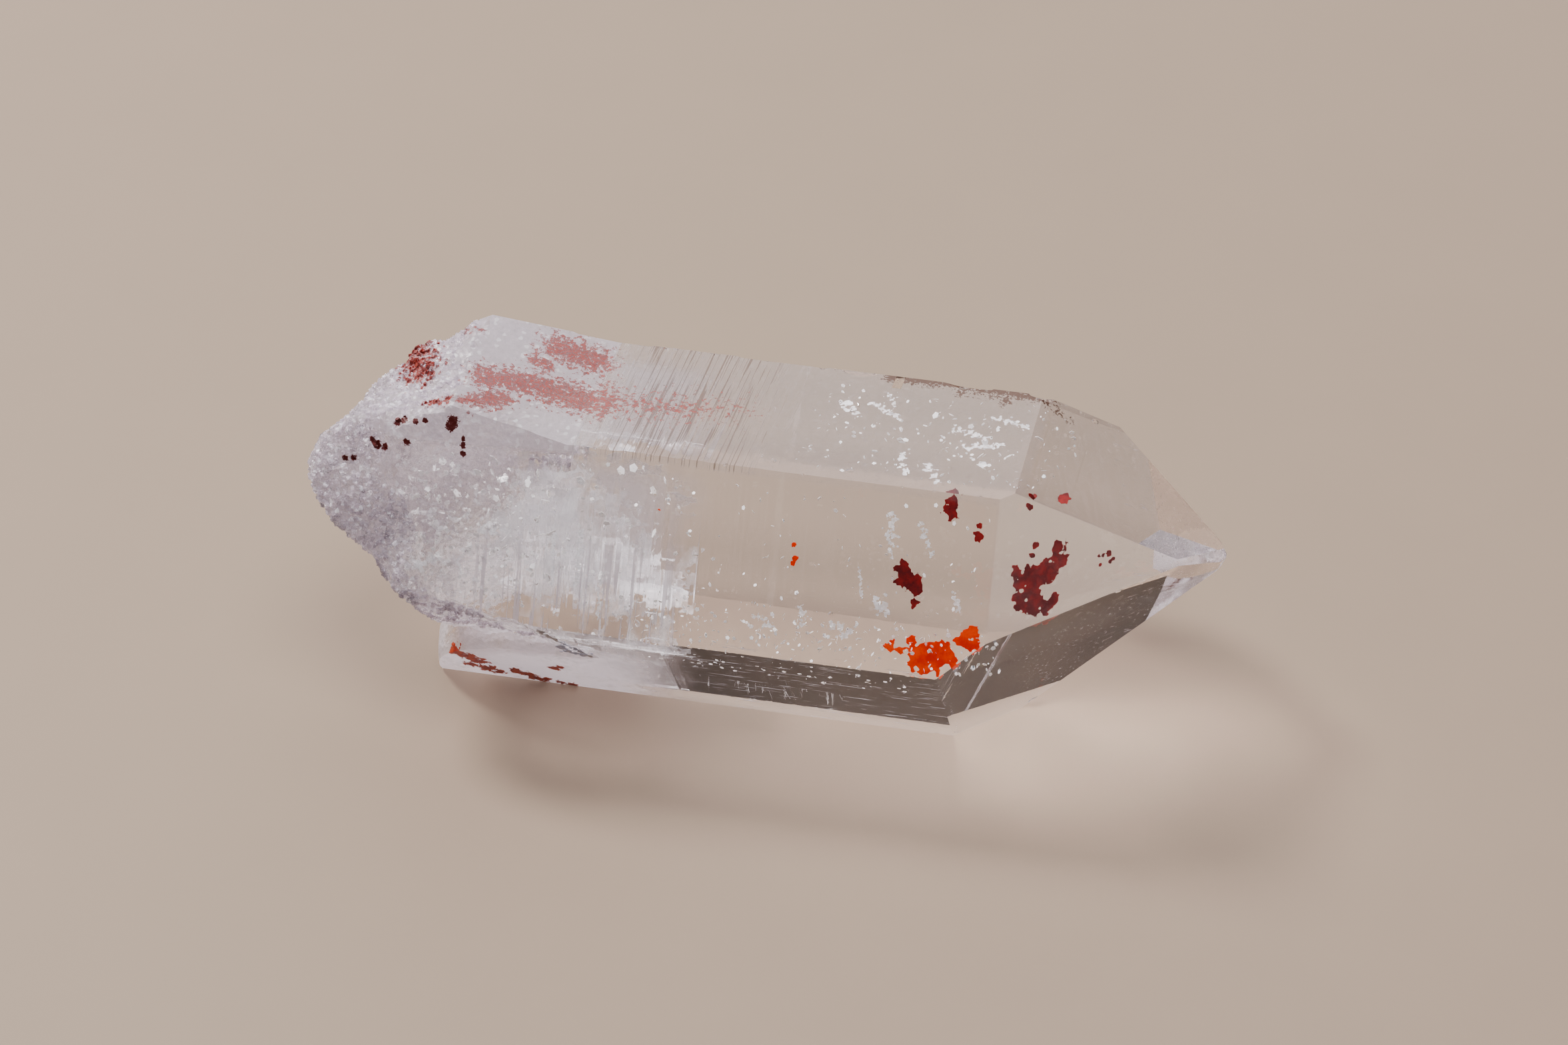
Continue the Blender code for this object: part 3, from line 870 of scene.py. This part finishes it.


# Veils: milky sheets, white fractures, a near-black sheet of painted shadow along a crack, and a blue flake inside
# the crystal

veilSheets = {
    "thickness": 0.015,
    "cloud": {      # facing, seed, blobs; spacing and raggedness come first
        "spacing": 0.14, "ragged": 0.85, "grain": 1.3,
        "sheets": (
            ("frontUpper", 21, ((-25.6, -0.6, -4.9, 1.7), (-24.0, -0.2, -4.4, 2.0), (-22.2, -1.0, -5.6, 2.0),
                                (-25.0, -1.7, -6.8, 2.2))),
            ("frontUpper", 22, ((-25.0, 1.4, -5.9, 2.0), (-22.6, 0.6, -7.3, 2.4), (-20.4, 0.1, -8.2, 1.5))),
            ("backUpper", 23, ((-24.6, 4.0, -5.0, 2.2), (-22.0, 3.6, -4.0, 2.4), (-20.0, 5.0, -6.6, 1.8))),
            ("frontUpper", 24, ((-24.0, 4.0, -9.0, 2.4), (-20.8, 3.4, -10.0, 2.4), (-18.8, 3.2, -10.2, 1.4))),
            ("top", 25, ((-24.8, 3.2, -10.6, 2.3), (-21.6, 3.0, -10.8, 2.6), (-18.4, 2.4, -11.0, 1.6))),
            ("frontUpper", 26, ((-20.4, -3.4, -7.8, 1.1), (-18.9, -3.6, -8.2, 1.0), (-17.7, -3.8, -8.6, 0.8),
                                (-21.9, -3.2, -7.4, 1.0))),
        )},
    "whites": {
        "spacing": 0.03, "ragged": 1.15, "grain": 0.26,
        "strokes": (      # facing, seed, start, end, radius: chains of small blobs
            ("top", 31, (-5.9, 3.0, -0.5), (-5.3, 1.4, -0.7), 0.11),
            ("top", 32, (-4.5, 2.3, -0.5), (-3.6, 1.2, -0.6), 0.12),
            ("top", 33, (-9.3, 6.4, -0.3), (-8.9, 5.6, -0.3), 0.17),
            ("top", 34, (-8.0, 6.6, -0.4), (-6.4, 5.6, -0.5), 0.12),
            ("top", 35, (-3.4, 5.4, -0.4), (-1.6, 5.0, -0.5), 0.11),
            ("top", 36, (-2.6, 3.9, -0.4), (-0.6, 4.6, -0.4), 0.10),
            ("top", 47, (-1.6, 6.6, -0.3), (0.4, 6.2, -0.3), 0.09),
            ("top", 48, (-7.4, 7.4, -0.3), (-6.9, 6.6, -0.4), 0.08),
            ("frontUpper", 37, (-5.7, 0.3, -1.9), (-5.6, -0.9, -3.9), 0.11),
            ("frontUpper", 38, (-4.1, 0.1, -2.2), (-3.4, -0.9, -3.6), 0.11),
            ("frontUpper", 39, (-6.3, -2.2, -5.9), (-5.4, -2.6, -6.5), 0.17),
            ("frontUpper", 40, (-8.0, -3.3, -7.4), (-7.4, -3.4, -7.7), 0.17),
            ("frontUpper", 41, (-10.0, -2.9, -6.7), (-9.8, -3.3, -7.4), 0.12),
            ("frontUpper", 49, (-2.0, -1.9, -5.2), (-1.7, -2.3, -6.0), 0.08),
            ("frontUpper", 50, (-7.2, -1.4, -4.6), (-6.9, -2.2, -6.0), 0.06),
            ("frontUpper", 53, (-12.4, -3.2, -7.2), (-11.6, -3.5, -7.7), 0.10),
            ("frontUpper", 42, (-27.6, -2.3, -4.6), (-26.0, -2.3, -4.4), 0.12),
            ("frontUpper", 43, (-31.4, -3.7, -6.7), (-29.8, -3.4, -6.2), 0.13),
            ("frontUpper", 44, (-22.2, -1.8, -3.9), (-22.1, -3.4, -6.6), 0.08),
            ("frontUpper", 45, (-23.6, -2.2, -4.4), (-23.4, -3.6, -6.8), 0.08),
            ("frontUpper", 46, (-20.9, -3.0, -5.9), (-20.8, -4.3, -8.0), 0.08),
        )},
    # a near-black sheet on the crack's plane: painted shadow where the crack looks dark
    "crack": (
        ("frontLower", 51, (-24.1, -4.7, -9.1), (-21.9, -3.05, -12.0), 0.11),
    ),
    "crackFlake": (
        ("frontLower", 52, (-23.1, -3.9, -10.7), (-22.2, -3.1, -11.9), 0.19),
    ),
}


def strokeBlobs(seed, start, end, radius):
    # a wandering chain of blobs with a few side branches
    chance = random.Random(seed)
    start, end = Vector(start), Vector(end)
    length = (end - start).length
    count = max(3, int(length / (radius * 0.7)))
    found = []
    for step in range(count + 1):
        spot = start.lerp(end, step / count)
        wander = Vector((chance.gauss(0, 1), chance.gauss(0, 1), chance.gauss(0, 1))) * radius * 0.8
        found.append((*(spot + wander), radius * chance.uniform(0.5, 1.1)))
        if chance.random() < 0.4:
            found.append((*(spot + wander * 2.6), radius * chance.uniform(0.3, 0.6)))
    return found


def makeVeilFinish(name, colour, thin, thick, scale, stretch, roughness):
    shader = Shader(name)
    point = shader.millimetres()
    cloud = shader.grain(point, scale, 5.0, 0.62, stretch)
    wide = shader.grain(point, scale * 0.3, 2.0, 0.5)
    amount = shader.rise(cloud * 0.7 + wide * 0.4, 0.46, 0.74)
    veil = shader.add("BsdfPrincipled", None, {
        "Base Color": shader.mixColour(cloud, colour, (0.97, 0.96, 0.98)), "Roughness": roughness, "IOR": 1.4,
        "Alpha": thin + amount * (thick - thin)})
    return shader.finish(veil)


def makeVeils(name, rows, spacing, ragged, grainSize, material):
    solid = bmesh.new()
    for facing, seed, *rest in rows:
        blobs = rest[0] if len(rest) == 1 else strokeBlobs(seed, *rest)
        addFlake(solid, facing, seed, blobs, spacing, veilSheets["thickness"], ragged, grainSize)
    bmesh.ops.recalc_face_normals(solid, faces=solid.faces)
    report(name, f"{len(solid.faces)} faces")
    piece = asPiece(name, solid, material)
    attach(piece, "root")
    return piece


cloudSettings, whiteSettings = veilSheets["cloud"], veilSheets["whites"]
makeVeils("milkyVeils", cloudSettings["sheets"], cloudSettings["spacing"], cloudSettings["ragged"],
          cloudSettings["grain"],
          makeVeilFinish("milkyVeil", (0.93, 0.90, 0.93), 0.01, 0.60, 0.55, (1.6, 0.7, 0.7), 0.6))
makeVeils("whiteFractures", whiteSettings["strokes"], whiteSettings["spacing"], whiteSettings["ragged"],
          whiteSettings["grain"],
          makeVeilFinish("whiteFracture", (0.95, 0.95, 0.97), 0.35, 0.95, 3.0, None, 0.25))
# the crack's dark look, painted as a near-black sheet of shadow
makeVeils("seamCrackShadow", veilSheets["crack"], 0.04, 0.35, 0.5,
          makeVeilFinish("seamShadow", (0.03, 0.03, 0.04), 0.9, 1.0, 3.0, None, 0.2))
makeVeils("seamFlake", veilSheets["crackFlake"], 0.05, 0.25, 0.6,
          makeVeilFinish("blueFlake", (0.10, 0.22, 0.55), 0.8, 1.0, 3.0, None, 0.2))


# Glitter: tiny bright flecks in the crystal and sugary grains on its rough end, scattered by node trees

glitter = {
    # outward plane name, depth below it, X from and to, distance down the face from and to, per square mm
    "areas": (
        ("frontUpper", 0.5, -20.0, 0.5, 7.6, 9.7, 7.0),
        ("frontUpper", 0.9, -15.0, -0.5, 1.0, 8.4, 0.8),
        ("top", 0.5, -11.0, 3.0, 1.0, 8.0, 2.2),
        ("frontUpper", 0.5, -31.5, -25.0, 2.0, 9.0, 9.0),
        ("frontUpper", 0.8, -25.0, -16.0, 1.0, 9.4, 1.8),
        ("frontLower", 0.5, -26.0, -4.0, 1.2, 3.6, 2.4),
    ),
    "dashAreas": (
        ("frontUpper", 0.4, -32.0, -26.0, 1.5, 8.6, 2.2),
        ("frontUpper", 0.7, -26.0, -18.0, 1.0, 9.0, 0.5),
        ("top", 0.5, -7.5, 1.0, 1.5, 7.0, 0.5),
    ),
    "size": (0.03, 0.15), "dashSize": (0.08, 0.30), "flatness": 0.08, "spread": 0.35, "seed": 12,
    "grainDensity": 15.0, "grainSize": (0.05, 0.16), "grainSeed": 5,
}


class Tree:
    # a Geometry Nodes tree with named inputs
    def __init__(self, name):
        self.group = bpy.data.node_groups.new(name, "GeometryNodeTree")
        self.group.interface.new_socket("Geometry", in_out="INPUT", socket_type="NodeSocketGeometry")
        self.group.interface.new_socket("Geometry", in_out="OUTPUT", socket_type="NodeSocketGeometry")
        self.source = self.group.nodes.new("NodeGroupInput")
        self.result = self.group.nodes.new("NodeGroupOutput")

    def named(self, name, kind):
        return self.group.interface.new_socket(name, in_out="INPUT", socket_type="NodeSocket" + kind)

    def add(self, kind, settings=None, values=None):
        node = self.group.nodes.new(kind)
        for key, value in (settings or {}).items():
            setattr(node, key, value)
        for key, value in (values or {}).items():
            if isinstance(value, bpy.types.NodeSocket):
                self.group.links.new(value, node.inputs[key])
            else:
                node.inputs[key].default_value = value
        return node

    def run(self, piece, values):
        # sets the inputs by identifier, evaluates the tree and returns a plain mesh
        holder = piece.modifiers.new("scatter", "NODES")
        holder.node_group = self.group
        identifiers = {item.name: item.identifier for item in self.group.interface.items_tree
                       if item.item_type == "SOCKET" and item.in_out == "INPUT"}
        for name, value in values.items():
            holder[identifiers[name]] = value
        view = bpy.context.evaluated_depsgraph_get()
        view.update()
        mesh = bpy.data.meshes.new_from_object(piece.evaluated_get(view))
        piece.modifiers.remove(holder)
        return mesh


def scatterTree():
    tree = Tree("scatterFlecks")
    for name, kind in (("Density", "Float"), ("Smallest", "Float"), ("Largest", "Float"), ("Flatness", "Float"),
                       ("Spread", "Float"), ("Seed", "Int"), ("Mask", "Float"), ("Finish", "Material")):
        tree.named(name, kind)
    source = tree.source.outputs
    mask = tree.add("GeometryNodeInputNamedAttribute", {"data_type": "FLOAT"}, {"Name": "scatterMask"})
    chosen = tree.add("FunctionNodeCompare", {"data_type": "FLOAT", "operation": "GREATER_EQUAL"},
                      {0: mask.outputs[0], 1: source["Mask"]})
    points = tree.add("GeometryNodeDistributePointsOnFaces", None, {
        "Mesh": source["Geometry"], "Selection": chosen.outputs[0], "Density": source["Density"],
        "Seed": source["Seed"]})
    negative = tree.add("ShaderNodeMath", {"operation": "MULTIPLY"}, {0: source["Spread"], 1: -1.0})
    low = tree.add("ShaderNodeCombineXYZ", None, {axis: negative.outputs[0] for axis in "XYZ"})
    high = tree.add("ShaderNodeCombineXYZ", None, {axis: source["Spread"] for axis in "XYZ"})
    drift = tree.add("FunctionNodeRandomValue", {"data_type": "FLOAT_VECTOR"}, {
        0: low.outputs[0], 1: high.outputs[0], "Seed": source["Seed"]})
    moved = tree.add("GeometryNodeSetPosition", None, {"Geometry": points.outputs["Points"],
                                                       "Offset": drift.outputs[0]})
    grain = tree.add("GeometryNodeMeshCylinder", None, {"Vertices": 5, "Radius": 1.0, "Depth": 1.6})
    turn = tree.add("FunctionNodeRandomValue", {"data_type": "FLOAT_VECTOR"}, {
        0: (0, 0, 0), 1: (6.28, 6.28, 6.28), "Seed": 3})
    size = tree.add("FunctionNodeRandomValue", {"data_type": "FLOAT"}, {
        2: source["Smallest"], 3: source["Largest"], "Seed": 4})
    scaledFlat = tree.add("ShaderNodeMath", {"operation": "MULTIPLY"}, {0: size.outputs[1], 1: source["Flatness"]})
    scale = tree.add("ShaderNodeCombineXYZ", None, {"X": size.outputs[1], "Y": size.outputs[1],
                                                    "Z": scaledFlat.outputs[0]})
    placedGrains = tree.add("GeometryNodeInstanceOnPoints", None, {
        "Points": moved.outputs[0], "Instance": grain.outputs["Mesh"], "Rotation": turn.outputs[0],
        "Scale": scale.outputs[0]})
    real = tree.add("GeometryNodeRealizeInstances", None, {"Geometry": placedGrains.outputs[0]})
    finished = tree.add("GeometryNodeSetMaterial", None, {"Geometry": real.outputs[0],
                                                          "Material": source["Finish"]})
    tree.group.links.new(finished.outputs[0], tree.result.inputs[0])
    return tree


def scatterSheet(areas):
    # the unseen sheets that the flecks are scattered over
    sheet = bmesh.new()
    masks = []
    for face, depth, xFrom, xTo, downFrom, downTo, density in areas:
        outward, down = prismDirection(face), alongFace(face)
        start = corners[face] - outward * depth
        if face == "top":
            down, start = Vector((0, 1, 0)), Vector((0, 0, -depth))
        rows = [[sheet.verts.new(start + down * d + Vector((x, 0, 0))) for x in (xFrom, xTo)]
                for d in (downFrom, downTo)]
        sheet.faces.new((rows[0][0], rows[0][1], rows[1][1], rows[1][0]))
        masks.extend([density] * 4)
    piece = asPiece("scatterSheet", sheet)
    mask = piece.data.attributes.new("scatterMask", "FLOAT", "POINT")
    mask.data.foreach_set("value", masks)
    return piece


def makeGlitter():
    finish = Shader("fleckShine")
    point = finish.millimetres()
    tone = finish.grain(point, 4.0, 2.0)
    material = finish.finish(finish.add("BsdfPrincipled", None, {
        "Base Color": finish.mixColour(tone, (0.94, 0.93, 0.95), (1.0, 1.0, 0.99)),
        "Metallic": finish.rise(tone, 0.60, 0.66), "Roughness": 0.15}))
    tree = scatterTree()
    merged = bmesh.new()
    for areas, sizes in ((glitter["areas"], glitter["size"]), (glitter["dashAreas"], glitter["dashSize"])):
        sheet = scatterSheet(areas)
        previous = 0.0
        for index, level in enumerate(sorted({area[-1] for area in areas})):
            mesh = tree.run(sheet, {
                "Density": (level - previous) / mm ** 2, "Smallest": sizes[0] * mm, "Largest": sizes[1] * mm,
                "Flatness": glitter["flatness"], "Spread": glitter["spread"] * mm,
                "Seed": glitter["seed"] + index, "Mask": level - 0.01, "Finish": material})
            merged.from_mesh(mesh)
            previous = level
        bpy.data.objects.remove(sheet)
    mesh = bpy.data.meshes.new("glitterFlecks")
    merged.to_mesh(mesh)
    merged.free()
    flecks = bpy.data.objects.new("glitterFlecks", mesh)
    bpy.context.scene.collection.objects.link(flecks)
    mesh.materials.clear()
    mesh.materials.append(material)
    report("glitter", f"{len(mesh.polygons)} faces")
    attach(flecks, "root")
    return tree


def makeGrains(tree):
    bare = crystal.copy()
    bare.data = crystal.data.copy()
    bare.parent = None
    bpy.context.scene.collection.objects.link(bare)
    mask = bare.data.attributes.new("scatterMask", "FLOAT", "POINT")
    values = np.empty(len(bare.data.vertices), dtype=np.float32)
    bare.data.attributes["sugar"].data.foreach_get("value", values)
    points = meshPoints(bare.data) / mm - shoulder
    values[points[:, 2] < -10.8] = 0
    mask.data.foreach_set("value", values)
    mesh = tree.run(bare, {
        "Density": glitter["grainDensity"] / mm ** 2, "Smallest": glitter["grainSize"][0] * mm,
        "Largest": glitter["grainSize"][1] * mm, "Flatness": 0.9, "Spread": 0.02 * mm,
        "Seed": glitter["grainSeed"], "Mask": 0.55, "Finish": quartz})
    bpy.data.objects.remove(bare)
    sugar = mesh.attributes.get("sugar") or mesh.attributes.new("sugar", "FLOAT", "POINT")
    sugar.data.foreach_set("value", [1.0] * len(sugar.data))
    grains = bpy.data.objects.new("sugarGrains", mesh)
    bpy.context.scene.collection.objects.link(grains)
    mesh.materials.clear()
    mesh.materials.append(quartz)
    report("grains", f"{len(mesh.polygons)} faces")
    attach(grains, "root")


makeGrains(makeGlitter())


# Stage: a pale floor, soft lamps and the camera

stageSettings = {
    "floorColour": (0.29, 0.215, 0.16), "floorRadius": 0.9,
    "camera": (61.87, -264.83, 242.76),
    "right": (0.9774, 0.2108, -0.0175), "up": (-0.1244, 0.6398, 0.7584), "back": (0.1711, -0.7391, 0.6515),
    "lens": 36 * 10000 / 2353, "sensor": 36.0,
    "lamps": (      # name, place, size, power, colour
        ("keyPanel", (-0.46, 0.26, 0.52), 0.16, 6.0, (1.0, 0.98, 0.95)),
        ("backPanel", (-0.10, 0.62, 0.56), 0.90, 3.0, (0.97, 0.98, 1.0)),
        ("overPanel", (0.10, -0.12, 0.66), 0.40, 2.6, (1.0, 0.99, 0.98)),
    ),
    "horizon": (0.012, 0.010, 0.010), "zenith": (0.26, 0.28, 0.33),
}


def makeStage():
    bpy.ops.mesh.primitive_circle_add(vertices=128, radius=stageSettings["floorRadius"], fill_type="NGON")
    floor = bpy.context.object
    floor.name = "paleFloor"
    shader = Shader("paleFloorPaint")
    point = shader.add("TexCoord", None, None, "Object")
    mottle = shader.grain(point, 140.0, 4.0)
    base = stageSettings["floorColour"]
    colour = shader.mixColour(mottle, base, tuple(part * 1.05 for part in base))
    floor.data.materials.append(shader.finish(
        shader.add("BsdfPrincipled", None, {"Base Color": colour, "Roughness": 0.6})))
    for name, spot, size, power, colour in stageSettings["lamps"]:
        lamp = bpy.data.lights.new(name, "AREA")
        lamp.shape = "DISK"
        lamp.size, lamp.energy, lamp.color = size, power, colour
        holder = bpy.data.objects.new(name, lamp)
        bpy.context.scene.collection.objects.link(holder)
        holder.location = spot
        holder.rotation_euler = (-Vector(spot)).to_track_quat("-Z", "Y").to_euler()
        holder.visible_camera = False
    world = bpy.data.worlds.new("studioAir")
    bpy.context.scene.world = world
    world.use_nodes = True
    tree = world.node_tree
    background = tree.nodes["Background"]
    coordinates = tree.nodes.new("ShaderNodeTexCoord")
    parts = tree.nodes.new("ShaderNodeSeparateXYZ")
    ramp = tree.nodes.new("ShaderNodeValToRGB")
    tree.links.new(coordinates.outputs["Generated"], parts.inputs[0])
    tree.links.new(parts.outputs["Z"], ramp.inputs[0])
    stops = ramp.color_ramp.elements
    stops[0].position, stops[0].color = 0.12, (*stageSettings["horizon"], 1)
    stops[1].position, stops[1].color = 0.62, (*stageSettings["zenith"], 1)
    tree.links.new(ramp.outputs["Color"], background.inputs["Color"])


def makeCamera():
    camera = bpy.data.cameras.new("camera")
    camera.lens, camera.sensor_width = stageSettings["lens"], stageSettings["sensor"]
    camera.clip_start, camera.clip_end = 0.01, 10.0
    holder = bpy.data.objects.new("camera", camera)
    bpy.context.scene.collection.objects.link(holder)
    back = Vector(stageSettings["back"]).normalized()
    up = back.cross(Vector(stageSettings["right"])).normalized()
    turn = Matrix((up.cross(back), up, back)).transposed().to_4x4()
    holder.matrix_world = Matrix.Translation(Vector(stageSettings["camera"]) * mm) @ turn
    bpy.context.scene.camera = holder


makeStage()
makeCamera()
bpy.context.scene.view_settings.look = "AgX - Medium High Contrast"
cycles = bpy.context.scene.cycles
cycles.max_bounces, cycles.transmission_bounces, cycles.transparent_max_bounces = 10, 10, 16
cycles.diffuse_bounces = 2
cycles.blur_glossy = 0.3
report("stage", "floor, lamps and camera placed")
